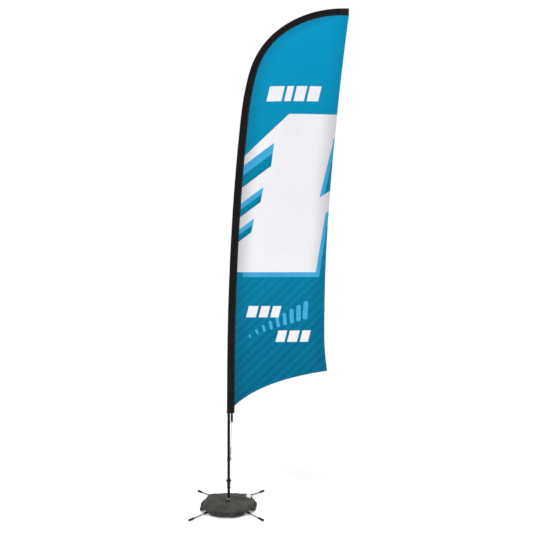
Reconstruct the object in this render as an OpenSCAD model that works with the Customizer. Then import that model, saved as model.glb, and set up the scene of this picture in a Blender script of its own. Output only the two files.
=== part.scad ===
// Free-standing feather flag: a folding cross base with a water-filled
// weight ring, a ball-bearing swivel, a four-piece bent mast and a sail
// with a pole sleeve. Millimetres. +X runs from the mast to the free edge of
// the sail, +Z is up, and the origin is on the floor under the mast.

/* [Mast] */
// height of the swivel flange's top face above the floor
mast_z = 206.2; // [190:0.1:260]
// outside diameter of the lowest pole section
pole1_d = 22; // [16:0.5:25]
// bore of the lowest section, which takes the second one
pole1_bore = 16; // [12:0.5:20]
// bore of the second section, which takes the third one
pole2_bore = 13; // [10:0.5:16]
// bore of the third section, which takes the tip rod
pole3_bore = 10; // [6:0.5:12]
// length of one section inside the one below it
pole_overlap = 120; // [120:120:240]
// path length at which the first section ends
joint_1 = 1240; // [1120:120:1480]
// path length at which the second section ends
joint_2 = 2320; // [2080:120:2560]
// path length at which the third section ends
joint_3 = 3360; // [3200:40:3480]
// turn of the mast in its long, stiff second and third stretches
lean_low = 3.75; // [2:0.05:6]
lean_mid = 2.4; // [1:0.05:4]
// turn of the mast where the tip rod begins to bend over
lean_high = 8.5; // [6:0.5:12]
// turn of the tight bend
bend_tight = 44.3; // [35:0.1:50]
// turn of the last bend, which brings the tip level
bend_tip = 30.8; // [20:0.05:40]

/* [Sleeve] */
// path length at the sleeve's open lower end
sleeve_start = 737; // [700:1:900]
// path length at the sleeve's closed upper end
sleeve_end = 4464; // [4300:1:4600]
// radius of the sleeve round the pole, at its lower end
sleeve_r_low = 15.5; // [12:0.5:20]
// radius of the sleeve round the pole, at its upper end
sleeve_r_top = 7; // [6.5:0.5:10]
// width of the sleeve, from its outer edge to the seam, at its lower end
sleeve_w_low = 62; // [50:1:80]
// width of the sleeve at its upper end
sleeve_w_top = 54; // [40:1:60]
// thickness of the sleeve cloth
sleeve_wall = 1; // [0.6:0.1:1.5]

/* [Sail] */
// thickness of the sail cloth
sail_t = 0.8; // [0.4:0.1:1.5]
// height of the lower corner on the free edge
corner_z = 1076; // [900:1:1200]
// distance of the lower corner from the mast axis
corner_x = 782; // [600:1:900]
// distance of the upper corner from the mast axis
top_x = 960; // [900:1:1000]
// depth of the sail's belly
belly = 34; // [0:1:80]

/* [Swivel] */
// outside diameter of the bearing housing
housing_d = 27; // [25:0.5:32]
// bearing outside diameter, bore and width
bearing_od = 22; // [22:1:26]
bearing_bore = 10; // [8:1:12]
bearing_w = 6; // [5:1:8]
// diameter of the spindle inside the mast
spindle_d = 14; // [12:0.5:15]
// height of the spindle's top end
spindle_top = 356; // [300:1:400]
// diameter of the flange that carries the mast
flange_d = 41; // [34:1:50]

/* [Base] */
// reach of each leg from the mast axis to the end of its rubber tip
leg_reach = 395; // [300:1:500]
// diameter of the leg rod
leg_d = 10; // [8:0.5:14]
// diameter of the socket tube that holds the leg rod
socket_d = 15; // [13:0.5:20]
// distance from the mast axis to the outer end of the socket tube
socket_reach = 246; // [150:1:300]
// diameter of the rubber tip
tip_d = 16; // [14:0.5:22]
// length of the rubber tip
tip_l = 48; // [30:1:60]
// diameter of the pivot bolt that the two arms fold on
pivot_d = 12; // [8:1:16]
// diameter of the post between the arms and the swivel
post_d = 21; // [16:0.5:25]

/* [Water ring] */
// outside radius of the filled ring
bag_r = 222; // [180:1:260]
// radius of the hole for the post
bag_hole = 22; // [20:1:40]
// height of the filled ring's crown above the floor
bag_top = 57; // [56:1:80]
// diameter of the filler cap
cap_d = 40; // [30:1:50]
// height of the filler cap
cap_h = 20; // [12:1:26]
// distance of the filler cap from the mast axis
cap_reach = 160; // [120:1:180]
// direction of the filler cap round the mast, from the sail's side towards the rear right leg
cap_turn = 14; // [8:1:32]

/* [Hidden] */
$fn = 48;
// path lengths at which every bent skin has a ring: wide apart where the mast is nearly straight
rings_at = concat([for (s = [1000 : 120 : 2920]) s], [for (s = [3000 : 40 : 4440]) s]);
bends = [[1000, 0], [1400, lean_low], [700, lean_mid], [344, lean_high],
         [509, bend_tight], [457, bend_tip], [69, 0]];
sleeve_r = [[sleeve_start, sleeve_r_low], [1000, 13], [2400, 11], [3400, 9], [sleeve_end, sleeve_r_top]];
sleeve_w = [[sleeve_start, sleeve_w_low], [3000, 62], [3400, 60], [3750, 52.5], [sleeve_end, sleeve_w_top]];
black = [0.09, 0.09, 0.09];
steel = [0.62, 0.63, 0.65];
zinc = [0.72, 0.73, 0.75];
rubber = [0.05, 0.05, 0.05];
leg_slope = atan((20.5 - tip_d/2)/(leg_reach - 40));
cap_tilt = 20;
cap_at = [cap_reach*cos(cap_turn), cap_reach*sin(cap_turn), 52];

// ---- the bent line of the mast, by path length from the floor ----
function advance(p, l, t) = abs(t) < 0.0001
    ? [p[0] + l*sin(p[2]), p[1] + l*cos(p[2]), p[2]]
    : let (r = l*180/(PI*t), b = p[2] + t)
      [p[0] + r*(cos(p[2]) - cos(b)), p[1] + r*(sin(b) - sin(p[2])), b];
function mast_at(s, i = 0, p = [0, 0, 0]) = i >= len(bends) ? advance(p, s, 0)
    : s <= bends[i][0] ? advance(p, s, bends[i][1]*s/bends[i][0])
    : mast_at(s - bends[i][0], i + 1, advance(p, bends[i][0], bends[i][1]));
// a point n to the sail side of the line and y behind it
function beside(s, n, y) = let (p = mast_at(s)) [p[0] + n*cos(p[2]), y, p[1] - n*sin(p[2])];
function stations(a, b) = concat([a], [for (s = rings_at) if (s > a + 0.5 && s < b - 0.5) s], [b]);

// ---- skin over rings of points, all rings with the same count ----
function wall_faces(n, m, at, out) = [for (i = [0 : n - 2]) for (j = [0 : m - 1])
    let (a = at + i*m + j, b = at + i*m + (j + 1)%m, c = b + m, d = a + m)
    each (out ? [[a, b, c], [a, c, d]] : [[a, c, b], [a, d, c]])];
function cap_faces(m, a, b) = [for (j = [0 : m - 1]) let (k = (j + 1)%m)
    each [[a + j, b + j, b + k], [a + j, b + k, a + k]]];
// a bent tube with open ends
module bent_tube(a, b, ro, ri, m = 32) {
    ss = stations(a, b);
    n = len(ss);
    outer = [for (s = ss) for (j = [0 : m - 1]) beside(s, ro*cos(360*j/m), ro*sin(360*j/m))];
    inner = [for (s = ss) for (j = [0 : m - 1]) beside(s, ri*cos(360*j/m), ri*sin(360*j/m))];
    polyhedron(concat(outer, inner), concat(
        wall_faces(n, m, 0, false), wall_faces(n, m, n*m, true),
        cap_faces(m, n*m, 0), cap_faces(m, (n - 1)*m, n*m + (n - 1)*m)));
}
// a bent solid rod
module bent_rod(a, b, r, m = 32) {
    ss = stations(a, b);
    n = len(ss);
    pts = [for (s = ss) for (j = [0 : m - 1]) beside(s, r*cos(360*j/m), r*sin(360*j/m))];
    polyhedron(pts, concat(wall_faces(n, m, 0, false),
        [[for (j = [0 : m - 1]) j], [for (j = [m - 1 : -1 : 0]) (n - 1)*m + j]]));
}
// outline of the sleeve across its line: round behind the pole, flat to the seam
function sleeve_ring(s, off, m = 18) = let (
        r = lookup(s, sleeve_r) - off,
        w = lookup(s, sleeve_w) - lookup(s, sleeve_r) - (off > 0 ? 5 : off),
        t = off > 0 ? 0.5 : 1.6 - off)
    concat([for (j = [0 : m - 1]) let (a = 70 + 220*j/(m - 1)) beside(s, r*cos(a), r*sin(a))],
        [beside(s, w, -t), beside(s, w, t)]);
module bent_shell(a, b, off_out, off_in, m = 20) {
    ss = stations(a, b);
    n = len(ss);
    outer = [for (s = ss) each sleeve_ring(s, off_out)];
    inner = [for (s = ss) each sleeve_ring(s, off_in)];
    polyhedron(concat(outer, inner), concat(
        wall_faces(n, m, 0, false), wall_faces(n, m, n*m, true),
        cap_faces(m, n*m, 0), cap_faces(m, (n - 1)*m, n*m + (n - 1)*m)));
}

// the same with its far end closed by an end wall of the given thickness
module bent_cup(a, b, end_wall, off_out, off_in, m = 20) {
    si = stations(a, b - end_wall);
    so = concat(si, [b]);
    ni = len(si);
    no = len(so);
    polyhedron(concat([for (s = so) each sleeve_ring(s, off_out)], [for (s = si) each sleeve_ring(s, off_in)]),
        concat(wall_faces(no, m, 0, false), wall_faces(ni, m, no*m, true), cap_faces(m, no*m, 0),
            [[for (j = [m - 1 : -1 : 0]) (no - 1)*m + j], [for (j = [0 : m - 1]) (no + ni - 1)*m + j]]));
}

// ---- legs ----
// placed along a leg: +X of the child runs outwards, down the leg's slope
module on_leg(turn) rotate([0, 0, turn]) translate([40, 0, 20.5]) rotate([0, leg_slope, 0]) children();
leg_l = (leg_reach - 40)/cos(leg_slope);
socket_l = (socket_reach - 40)/cos(leg_slope);
module rod_x(r, a, b) translate([a, 0, 0]) rotate([0, 90, 0]) cylinder(r = r, h = b - a);
module leg_rod(turn) color(steel) on_leg(turn) difference() {
    rod_x(leg_d/2, 20, leg_l - 6);
    for (x = [34, socket_l - 12]) translate([x, 0, -10]) cylinder(r = 1.6, h = 20);
}
module leg_tip(turn) color(rubber) on_leg(turn) difference() {
    union() {
        rod_x(tip_d/2, leg_l - tip_l, leg_l);
        rod_x(tip_d/2 + 0.6, leg_l - tip_l, leg_l - tip_l + 4);
    }
    rod_x(leg_d/2, leg_l - tip_l - 1, leg_l - 6);
}
module socket(turn) on_leg(turn) difference() {
    rod_x(socket_d/2, 0, socket_l);
    rod_x(leg_d/2 + 0.1, 20, socket_l + 1);
    for (x = [34, socket_l - 12]) translate([x, 0, -10]) cylinder(r = 1.6, h = 20);
}
module rivets(turn) on_leg(turn) for (x = [34, socket_l - 12]) translate([x, 0, 0]) {
    translate([0, 0, -socket_d/2 + 0.4]) cylinder(r = 1.56, h = socket_d - 0.2);
    translate([0, 0, socket_d/2 + 0.05]) cylinder(r1 = 3, r2 = 2, h = 0.8);
}

// ---- base ----
module center_foot() color(rubber) difference() {
    union() {
        cylinder(r = 16, h = 1.2);
        translate([0, 0, 1.2]) cylinder(r1 = 18, r2 = 17, h = 5.8);
    }
    translate([0, 0, 3.2]) cylinder(r = 13, h = 10);
}
module pivot_bolt() color(zinc) {
    translate([0, 0, 3.2]) cylinder(r = 13, h = 4);
    translate([0, 0, 7.2]) cylinder(r = pivot_d/2, h = 66);
}
module arm_plate(z, turn, bore) rotate([0, 0, turn]) difference() {
    translate([-75, -15, z]) cube([150, 30, 5]);
    translate([0, 0, z - 1]) cylinder(r = bore, h = 7);
}
module lower_arm() color(black) union() {
    arm_plate(7.2, 45, pivot_d/2);
    for (t = [45, 225]) {
        socket(t);
        rotate([0, 0, t]) translate([46, -4, 12.2]) cube([12, 8, 2.6]);
    }
}
module lower_arm_rivets() color(zinc) for (t = [45, 225]) rivets(t);
module arm_spacer() color(zinc) translate([0, 0, 12.2]) difference() {
    cylinder(r = 13, h = 15.8);
    translate([0, 0, -1]) cylinder(r = pivot_d/2, h = 20);
}
module hub_washer() color(zinc) translate([0, 0, 33.6]) difference() {
    cylinder(r = 12, h = 2);
    translate([0, 0, -1]) cylinder(r = pivot_d/2, h = 4);
}
module hub_nut() color(zinc) translate([0, 0, 35.6]) difference() {
    cylinder(r = 10.97, h = 10, $fn = 6);
    translate([0, 0, -1]) cylinder(r = pivot_d/2, h = 12);
}
module post() color(black) difference() {
    union() {
        translate([0, 0, 45.6]) cylinder(r = 17, h = 5);
        translate([0, 0, 50.6]) cylinder(r = post_d/2, h = 88.4);
    }
    translate([0, 0, 45]) cylinder(r = pivot_d/2, h = 28.2);
    translate([0, 0, 73.2]) cylinder(r = 8, h = 70);
}
module lock_collar() color(zinc) difference() {
    translate([0, 0, 50.6]) cylinder(r = 15, h = 9);
    translate([0, 0, 50]) cylinder(r = post_d/2, h = 12);
    translate([9, 0, 55.1]) rotate([0, 90, 0]) cylinder(r = 2, h = 8);
}
module bearing_housing() color(black) difference() {
    union() {
        translate([0, 0, 139]) cylinder(r = housing_d/2, h = 51);
        translate([0, 0, 121]) cylinder(r = 8, h = 18);
    }
    translate([0, 0, 143]) cylinder(r = 8.6, h = 5);
    translate([0, 0, 147]) cylinder(r = bearing_od/2, h = 45);
}
// height of the two bearings
bearing_z = [147, 181];
module ring(z, ro, ri, h) translate([0, 0, z]) difference() {
    cylinder(r = ro, h = h);
    translate([0, 0, -1]) cylinder(r = ri, h = h + 2);
}
module race(z, r = 1.65) translate([0, 0, z + bearing_w/2]) rotate_extrude() translate([8, 0]) circle(r = r);
module bearing_outer_rings() color(zinc) for (z = bearing_z) difference() {
    ring(z, bearing_od/2, 9.1, bearing_w);
    race(z);
}
module bearing_inner_rings() color(zinc) for (z = bearing_z) difference() {
    ring(z, 6.9, bearing_bore/2, bearing_w);
    race(z);
}
module bearing_balls() color([0.8, 0.8, 0.82]) for (z = bearing_z) for (k = [0 : 8])
    rotate([0, 0, 40*k]) translate([8, 0, z + bearing_w/2]) sphere(r = 1.5875, $fn = 24);
module bearing_cages() color([0.7, 0.6, 0.4]) for (z = bearing_z) difference() {
    ring(z + bearing_w/2 - 1.9, 8.7, 7.3, 3.8);
    for (k = [0 : 8]) rotate([0, 0, 40*k]) translate([8, 0, z + bearing_w/2]) sphere(r = 1.62, $fn = 24);
}
module bearing_spacer() color(zinc) ring(153, bearing_od/2, 9.4, 28);
module bearing_retainer() color(zinc) ring(187, bearing_od/2, 9.2, 1.5);

module upper_arm() color(black) union() {
    arm_plate(28.3, 135, pivot_d/2 + 0.05);
    for (t = [135, 315]) {
        socket(t);
        rotate([0, 0, t]) translate([46, -4, 25.8]) cube([24, 8, 2.6]);
    }
    // tabs that meet the lower plate's sides and stop the arms square
    for (t = [45, 225]) rotate([0, 0, t]) translate([11, 15.3, 9]) cube([4, 3, 20]);
}
module upper_arm_rivets() color(zinc) for (t = [135, 315]) rivets(t);
module leg_front_left() leg_rod(225);
module leg_rear_right() leg_rod(45);
module leg_front_right() leg_rod(315);
module leg_rear_left() leg_rod(135);
module leg_tip_front_left() leg_tip(225);
module leg_tip_rear_right() leg_tip(45);
module leg_tip_front_right() leg_tip(315);
module leg_tip_rear_left() leg_tip(135);

// ---- swivel spindle ----
module spindle_shaft() color(steel) difference() {
    union() {
        translate([0, 0, 144.4]) cylinder(r = bearing_bore/2, h = 47);
        translate([0, 0, 191.4]) cylinder(r = spindle_d/2, h = spindle_top - 191.4 - 3);
        translate([0, 0, spindle_top - 3]) cylinder(r1 = spindle_d/2, r2 = spindle_d/2 - 2.5, h = 3);
    }
    for (z = [240, 330]) translate([0, 0, z]) rotate_extrude() translate([spindle_d/2 + 0.05, 0]) circle(r = 0.8);
    ring(145.4, 8, 4.4, 1.1);
}
module spindle_circlip() color(zinc) difference() {
    ring(145.4, 6.4, 4.4, 1.1);
    translate([0, -1, 145]) cube([8, 2, 2]);
}
module spindle_o_rings() color(rubber) for (z = [240, 330]) translate([0, 0, z])
    rotate_extrude() translate([spindle_d/2 + 0.05, 0]) circle(r = 0.8);
module spindle_flange() color(black) difference() {
    translate([0, 0, 190.6]) rotate_extrude() polygon([[spindle_d/2, 0.8], [12, 0.8], [12, 0], [15, 0],
        [flange_d/2 - 1.5, 4.4], [flange_d/2, 7], [flange_d/2, 11.5], [flange_d/2 - 1.5, 13.5],
        [15, 15.6], [spindle_d/2, 15.6]]);
}

// ---- mast ----
module pole_foot() color(black) translate([0, 0, mast_z + 0.3]) rotate_extrude()
    polygon([[pole1_d/2, 0], [14.5, 0], [14.5, 2.5], [pole1_d/2 + 0.8, 12.5], [pole1_d/2, 12.5]]);
module pole_section_1() color(black) bent_tube(mast_z + 0.3, joint_1, pole1_d/2, pole1_bore/2);
module pole_section_2() color(black) bent_tube(joint_1 - pole_overlap, joint_2, pole1_bore/2, pole2_bore/2);
module pole_section_3() color(black) bent_tube(joint_2 - pole_overlap, joint_3, pole2_bore/2, pole3_bore/2);
module pole_section_4() color(black) bent_rod(joint_3 - pole_overlap, sleeve_end - 23, pole3_bore/2);
module pole_ring_1() color(zinc) bent_tube(joint_1, joint_1 + 20, pole1_d/2, pole1_bore/2 + 0.06);
module pole_ring_2() color(zinc) bent_tube(joint_2, joint_2 + 20, pole1_bore/2, pole2_bore/2 + 0.06);
module pole_ring_3() color(zinc) bent_tube(joint_3, joint_3 + 20, pole2_bore/2, pole3_bore/2 + 0.06);
tip_s = sleeve_end - 23;
module at_tip() let (p = mast_at(tip_s)) translate([p[0], 0, p[1]]) rotate([0, p[2], 0]) children();
module tip_cap() color(rubber) at_tip() difference() {
    translate([0, 0, -14]) cylinder(r = 5.9, h = 20);
    translate([0, 0, -15]) cylinder(r = pole3_bore/2 + 0.02, h = 15);
}

// ---- sleeve and sail ----
module pole_sleeve() color(black) bent_shell(sleeve_start, sleeve_end - 4, 0, sleeve_wall);
module tip_pocket() color(black) bent_cup(sleeve_end - 64, sleeve_end, 4, -0.9, -0.02);
// distance of the free edge from the mast axis at a height: nearly upright, leaning
// out towards the top and flaring at the lower corner
edge_x = 761.5;
function free_edge(z) = edge_x + (top_x - edge_x)*pow(max(0, z - 1450)/2470, 1.7)
    + (corner_x - edge_x)*pow(max(0, 1340 - z)/(1340 - corner_z), 1.6);
function seam(s) = beside(s, lookup(s, sleeve_w) - lookup(s, sleeve_r), 0);
sail_s0 = sleeve_start + 56;
sail_s1 = sleeve_end - 66;
seam_low = seam(sail_s0);
seam_top = seam(sail_s1);
// the lower edge hangs in one curve from the free corner down to the sleeve
lower_mid = [258, 1006];
function lower_edge(u) = [
    (1 - u)*(1 - u)*seam_low[0] + 2*u*(1 - u)*lower_mid[0] + u*u*corner_x,
    (1 - u)*(1 - u)*seam_low[2] + 2*u*(1 - u)*lower_mid[1] + u*u*corner_z];
sail_rows = stations(sail_s0, sail_s1);
function rise(s) = (seam(s)[2] - seam_low[2])/(seam_top[2] - seam_low[2]);
// a row runs from the seam to the free edge, u = 0 to 1; low rows take the lower edge's curve
function sail_point(u, s) = let (
        l = seam(s),
        h = rise(s),
        zr = corner_z + (seam_top[2] - 1.2 - corner_z)*h,
        b = lower_edge(u),
        fade = pow(1 - h, 3))
    [l[0] + (free_edge(zr) - l[0])*u + (b[0] - seam_low[0] - (corner_x - seam_low[0])*u)*fade,
     l[2] + (zr - l[2])*u + (b[1] - seam_low[2] - (corner_z - seam_low[2])*u)*fade];
function sail_y(u, h) = -belly*sin(180*pow(u, 0.8))*(0.3 + 0.7*sin(180*min(1, 0.1 + 0.86*h)))
    - 9*u*sin(540*h + 40);
sail_nu = 16;
sail_m = len(sail_rows);
function at(k, i, j) = (k*(sail_nu + 1) + i)*sail_m + j;
module flag_panel() color([0, 0.5, 0.66]) {
    nv = sail_m - 1;
    side = [for (k = [-1, 1]) for (i = [0 : sail_nu]) for (j = [0 : nv])
        let (u = i/sail_nu, s = sail_rows[j], p = sail_point(u, s))
        [p[0], sail_y(u, rise(s)) + k*sail_t/2, p[1]]];
    polyhedron(side, concat(
        [for (i = [0 : sail_nu - 1]) for (j = [0 : nv - 1]) each [
            [at(0, i, j), at(0, i, j + 1), at(0, i + 1, j + 1)], [at(0, i, j), at(0, i + 1, j + 1), at(0, i + 1, j)],
            [at(1, i, j), at(1, i + 1, j + 1), at(1, i, j + 1)], [at(1, i, j), at(1, i + 1, j), at(1, i + 1, j + 1)]]],
        [for (j = [0 : nv - 1]) each [
            [at(0, 0, j), at(1, 0, j), at(1, 0, j + 1)], [at(0, 0, j), at(1, 0, j + 1), at(0, 0, j + 1)],
            [at(0, sail_nu, j), at(1, sail_nu, j + 1), at(1, sail_nu, j)], [at(0, sail_nu, j), at(0, sail_nu, j + 1), at(1, sail_nu, j + 1)]]],
        [for (i = [0 : sail_nu - 1]) each [
            [at(0, i, 0), at(0, i + 1, 0), at(1, i + 1, 0)], [at(0, i, 0), at(1, i + 1, 0), at(1, i, 0)],
            [at(0, i, nv), at(1, i + 1, nv), at(0, i + 1, nv)], [at(0, i, nv), at(1, i, nv), at(1, i + 1, nv)]]]));
}

// ---- tension parts ----
strap_x = 16.5;
strap_w = 17;
ring_z = 664.5;
ring_x = strap_x + strap_w/2;
strap_end = 669;
module tension_strap() color(black) translate([strap_x, 0, 0]) rotate([90, 0, 90]) linear_extrude(strap_w)
    difference() {
        union() {
            translate([-3.4, strap_end]) square([6.8, 762 - strap_end]);
            translate([0, strap_end]) circle(r = 3.4);
        }
        translate([-2, strap_end]) square([4, 761 - strap_end]);
        translate([0, strap_end]) circle(r = 2);
    }
module tension_ring() color(zinc) translate([ring_x, 0, ring_z]) rotate([90, 0, 0])
    rotate_extrude() translate([10.5, 0]) circle(r = 1.5);
// elastic loop from the ring down to the peg on the collar
cord_r = 1.5;
loop_r = 4.7;
cord_top = [ring_x - 2.5, ring_z - 11.6];
cord_low = [15.2, 370];
module tension_cord() color([0.55, 0.56, 0.57]) {
    m = 10;
    d = cord_low - cord_top;
    l = norm(d);
    e = d/l;
    f = [-e[1], e[0]];
    k = 10;
    c = concat([for (i = [0 : k]) let (a = 180*i/k) [loop_r*cos(a), -loop_r*sin(a), cos(a), -sin(a)]],
        [for (i = [0 : k]) let (a = 180*i/k) [-loop_r*cos(a), l + loop_r*sin(a), -cos(a), sin(a)]]);
    n = len(c);
    pts = [for (q = c) for (j = [0 : m - 1]) let (
            ro = cord_r*cos(360*j/m), so = cord_r*sin(360*j/m),
            y = q[0] + ro*q[2], w = q[1] + ro*q[3])
        [cord_top[0] + e[0]*w + f[0]*so, y, cord_top[1] + e[1]*w + f[1]*so]];
    polyhedron(pts, [for (i = [0 : n - 1]) for (j = [0 : m - 1])
        let (a = i*m + j, b = i*m + (j + 1)%m, c2 = ((i + 1)%n)*m + (j + 1)%m, d2 = ((i + 1)%n)*m + j)
        each [[a, b, c2], [a, c2, d2]]]);
}
module tension_collar() color(black) difference() {
    union() {
        translate([0, 0, 356]) cylinder(r = pole1_d/2 + 1.9, h = 28);
        translate([0, 0, 370]) rotate([0, 90, 0]) cylinder(r = 3, h = 19);
        translate([18.4, 0, 370]) rotate([0, 90, 0]) cylinder(r = 5, h = 3);
    }
    translate([0, 0, 350]) cylinder(r = pole1_d/2 + 0.02, h = 40);
}

// ---- water ring ----
module neck_axis() translate(cap_at) rotate([0, 0, cap_turn]) rotate([0, cap_tilt, 0]) children();
module bag_body() rotate_extrude() polygon([
    [bag_hole, 36.5], [bag_hole + 3, 34.5], [80, 34.5], [92, 29], [150, 26.5], [bag_r - 24, 24],
    [bag_r - 8, 26], [bag_r, 31], [bag_r + 3, 33], [bag_r + 3, 35], [bag_r, 36], [bag_r - 6, 43],
    [bag_r - 18, bag_top - 11], [bag_r - 42, bag_top - 4.5], [bag_r - 80, bag_top], [100, bag_top],
    [70, bag_top - 1.5], [48, bag_top - 5], [36, bag_top - 10], [bag_hole + 2, bag_top - 14],
    [bag_hole, bag_top - 17]]);
module water_bag() color([0.24, 0.24, 0.22]) difference() {
    bag_body();
    neck_axis() translate([0, 0, -14]) cylinder(r = 21, h = 40);
}
module filler_neck() color(black) neck_axis() difference() {
    union() {
        translate([0, 0, -14]) cylinder(r = 21, h = 9);
        translate([0, 0, -5]) cylinder(r = 16, h = 21);
    }
    translate([0, 0, -11]) cylinder(r = 13, h = 30);
}
module filler_cap() color([0.93, 0.93, 0.93]) neck_axis() difference() {
    union() {
        cylinder(r = cap_d/2, h = cap_h - 1.5);
        translate([0, 0, cap_h - 1.5]) cylinder(r1 = cap_d/2, r2 = cap_d/2 - 1.5, h = 1.5);
    }
    translate([0, 0, -1]) cylinder(r = 16.06, h = 18.6);
    for (k = [0 : 23]) rotate([0, 0, 15*k]) translate([cap_d/2 + 0.6, 0, -1]) cylinder(r = 1.2, h = cap_h + 3, $fn = 16);
}
module cap_seal() color(rubber) neck_axis() ring(16.3, 15.9, 12, 1);

center_foot();
pivot_bolt();
lower_arm();
lower_arm_rivets();
arm_spacer();
hub_washer();
hub_nut();
post();
lock_collar();
bearing_housing();
bearing_outer_rings();
bearing_spacer();
bearing_retainer();
leg_front_left();
leg_rear_right();
leg_tip_front_left();
leg_tip_rear_right();
water_bag();
filler_neck();
upper_arm();
upper_arm_rivets();
leg_front_right();
leg_rear_left();
leg_tip_front_right();
leg_tip_rear_left();
bearing_balls();
bearing_cages();
bearing_inner_rings();
spindle_shaft();
spindle_flange();
spindle_o_rings();
spindle_circlip();
pole_foot();
pole_section_1();
pole_section_2();
pole_section_3();
pole_section_4();
pole_ring_1();
pole_ring_2();
pole_ring_3();
tip_cap();
pole_sleeve();
tip_pocket();
flag_panel();
tension_strap();
tension_ring();
tension_cord();
tension_collar();
filler_cap();
cap_seal();
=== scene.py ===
import bpy, bmesh, math, random
import numpy as np
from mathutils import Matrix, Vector, noise
from mathutils.geometry import delaunay_2d_cdt


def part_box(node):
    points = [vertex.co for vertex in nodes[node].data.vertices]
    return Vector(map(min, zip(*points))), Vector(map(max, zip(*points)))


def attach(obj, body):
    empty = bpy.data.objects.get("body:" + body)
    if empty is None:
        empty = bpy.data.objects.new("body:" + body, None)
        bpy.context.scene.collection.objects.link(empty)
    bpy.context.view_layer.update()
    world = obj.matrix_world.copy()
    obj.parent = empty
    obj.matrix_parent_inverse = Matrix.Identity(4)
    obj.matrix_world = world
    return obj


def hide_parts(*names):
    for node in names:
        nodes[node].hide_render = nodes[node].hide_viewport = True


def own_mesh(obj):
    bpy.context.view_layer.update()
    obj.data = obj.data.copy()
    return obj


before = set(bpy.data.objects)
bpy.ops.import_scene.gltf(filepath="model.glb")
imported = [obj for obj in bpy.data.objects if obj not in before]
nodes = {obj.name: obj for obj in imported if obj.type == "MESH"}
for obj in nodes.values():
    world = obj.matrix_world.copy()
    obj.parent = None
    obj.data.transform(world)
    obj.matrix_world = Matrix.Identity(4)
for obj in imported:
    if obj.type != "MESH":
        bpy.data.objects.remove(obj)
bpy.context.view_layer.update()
scene = bpy.context.scene
pi, tau = math.pi, math.tau

# ---- camera
cam_data = bpy.data.cameras.new("camera")
cam_data.lens = 37.66
cam_data.sensor_width = 36
cam = bpy.data.objects.new("camera", cam_data)
cam.location = (0.309, -4.46, 1.897)
cam.rotation_euler = (pi/2, 0, 0)
scene.collection.objects.link(cam)
scene.camera = cam


# ---- the mast's line and the sail's outline
BENDS = ((1.0, 0.0), (1.4, 3.75), (0.7, 2.4), (0.344, 8.5), (0.509, 44.3), (0.457, 30.8), (0.069, 0.0))
SLEEVE_A, SLEEVE_B = 0.737, 4.464
SLEEVE_R = ((0.737, 0.0155), (1.0, 0.013), (2.4, 0.011), (3.4, 0.009), (SLEEVE_B, 0.007))
SLEEVE_W = ((0.737, 0.062), (3.0, 0.062), (3.4, 0.060), (3.75, 0.0525), (SLEEVE_B, 0.054))


def mast_at(s):
    x, z, a = 0.0, 0.0, 0.0
    for length, turn in BENDS:
        l = min(s, length)
        t = math.radians(turn)*l/length
        if abs(t) < 1e-9:
            x, z = x + l*math.sin(a), z + l*math.cos(a)
        else:
            r = l/t
            x, z, a = x + r*(math.cos(a) - math.cos(a + t)), z + r*(math.sin(a + t) - math.sin(a)), a + t
        s -= l
        if s <= 0:
            break
    return x, z, a


def lookup(table, s):
    return float(np.interp(s, [p[0] for p in table], [p[1] for p in table]))


def beside(s, n, y=0.0):
    x, z, a = mast_at(s)
    return Vector((x + n*math.cos(a), y, z - n*math.sin(a)))


def flap(s):
    """how far the seam stands from the mast's centre line"""
    return lookup(SLEEVE_W, s) - lookup(SLEEVE_R, s)


def seam(s, inset=0.0):
    return beside(s, flap(s) - inset)


CORNER_X, CORNER_Z, TOP_X, EDGE_X = 0.782, 1.076, 0.960, 0.7615
SAIL_A, SAIL_B = SLEEVE_A + 0.056, SLEEVE_B - 0.012
LOW, TOP = seam(SAIL_A), seam(SAIL_B)
BELLY = 0.034


def free_edge(z):
    return (EDGE_X + (TOP_X - EDGE_X)*(max(0, z - 1.45)/2.47)**1.7
            + (CORNER_X - EDGE_X)*(max(0, 1.34 - z)/(1.34 - CORNER_Z))**1.6)


def lower_edge(u):
    pull_x, pull_z = 0.258, 1.006
    return ((1 - u)**2*LOW.x + 2*u*(1 - u)*pull_x + u*u*CORNER_X,
            (1 - u)**2*LOW.z + 2*u*(1 - u)*pull_z + u*u*CORNER_Z)


SEAM = [seam(SAIL_A + (SAIL_B - SAIL_A)*i/600) for i in range(601)]
SEAM_X, SEAM_Z = np.array([p.x for p in SEAM]), np.array([p.z for p in SEAM])


def sail_y(x, z):
    """how far the cloth bellies towards the front at a point of the flat sail"""
    zc = min(max(z, LOW.z), TOP.z - 0.002)
    xs = float(np.interp(zc, SEAM_Z, SEAM_X))
    u = min(1.0, max(0.0, (x - xs)/max(0.02, free_edge(z) - xs)))
    h = (zc - LOW.z)/(TOP.z - LOW.z)
    y = -BELLY*math.sin(pi*u**0.8)*(0.3 + 0.7*math.sin(pi*min(1, 0.1 + 0.86*h)))
    y -= 0.009*u*math.sin(math.radians(540*h + 40))
    # soft folds that run from the seam, and a slight flutter at the free edge
    y += 0.0035*(u*u)*math.sin(z*9.3 + x*3.0)*(1 - 0.6*h)
    pull = max(0.0, 1 - u*3.2)
    y += 0.0016*pull*(1 - pull)*4*noise.noise(Vector((x*6, z*17, 1.3)))
    y += 0.0030*noise.noise(Vector((x*2.4, z*1.1, 4.7)))*min(1, u*6)
    y += 0.0012*noise.noise(Vector((x*11, z*3.2, 8.1)))*min(1, u*6)
    near = min(1.0, float(np.hypot(SEAM_X - x, SEAM_Z - z).min())/0.085)
    return y*near*near*(3 - 2*near)


# ---- materials
def srgb(r, g, b):
    return tuple((c/255/12.92 if c < 10.3 else ((c/255 + 0.055)/1.055)**2.4) for c in (r, g, b)) + (1,)


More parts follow.
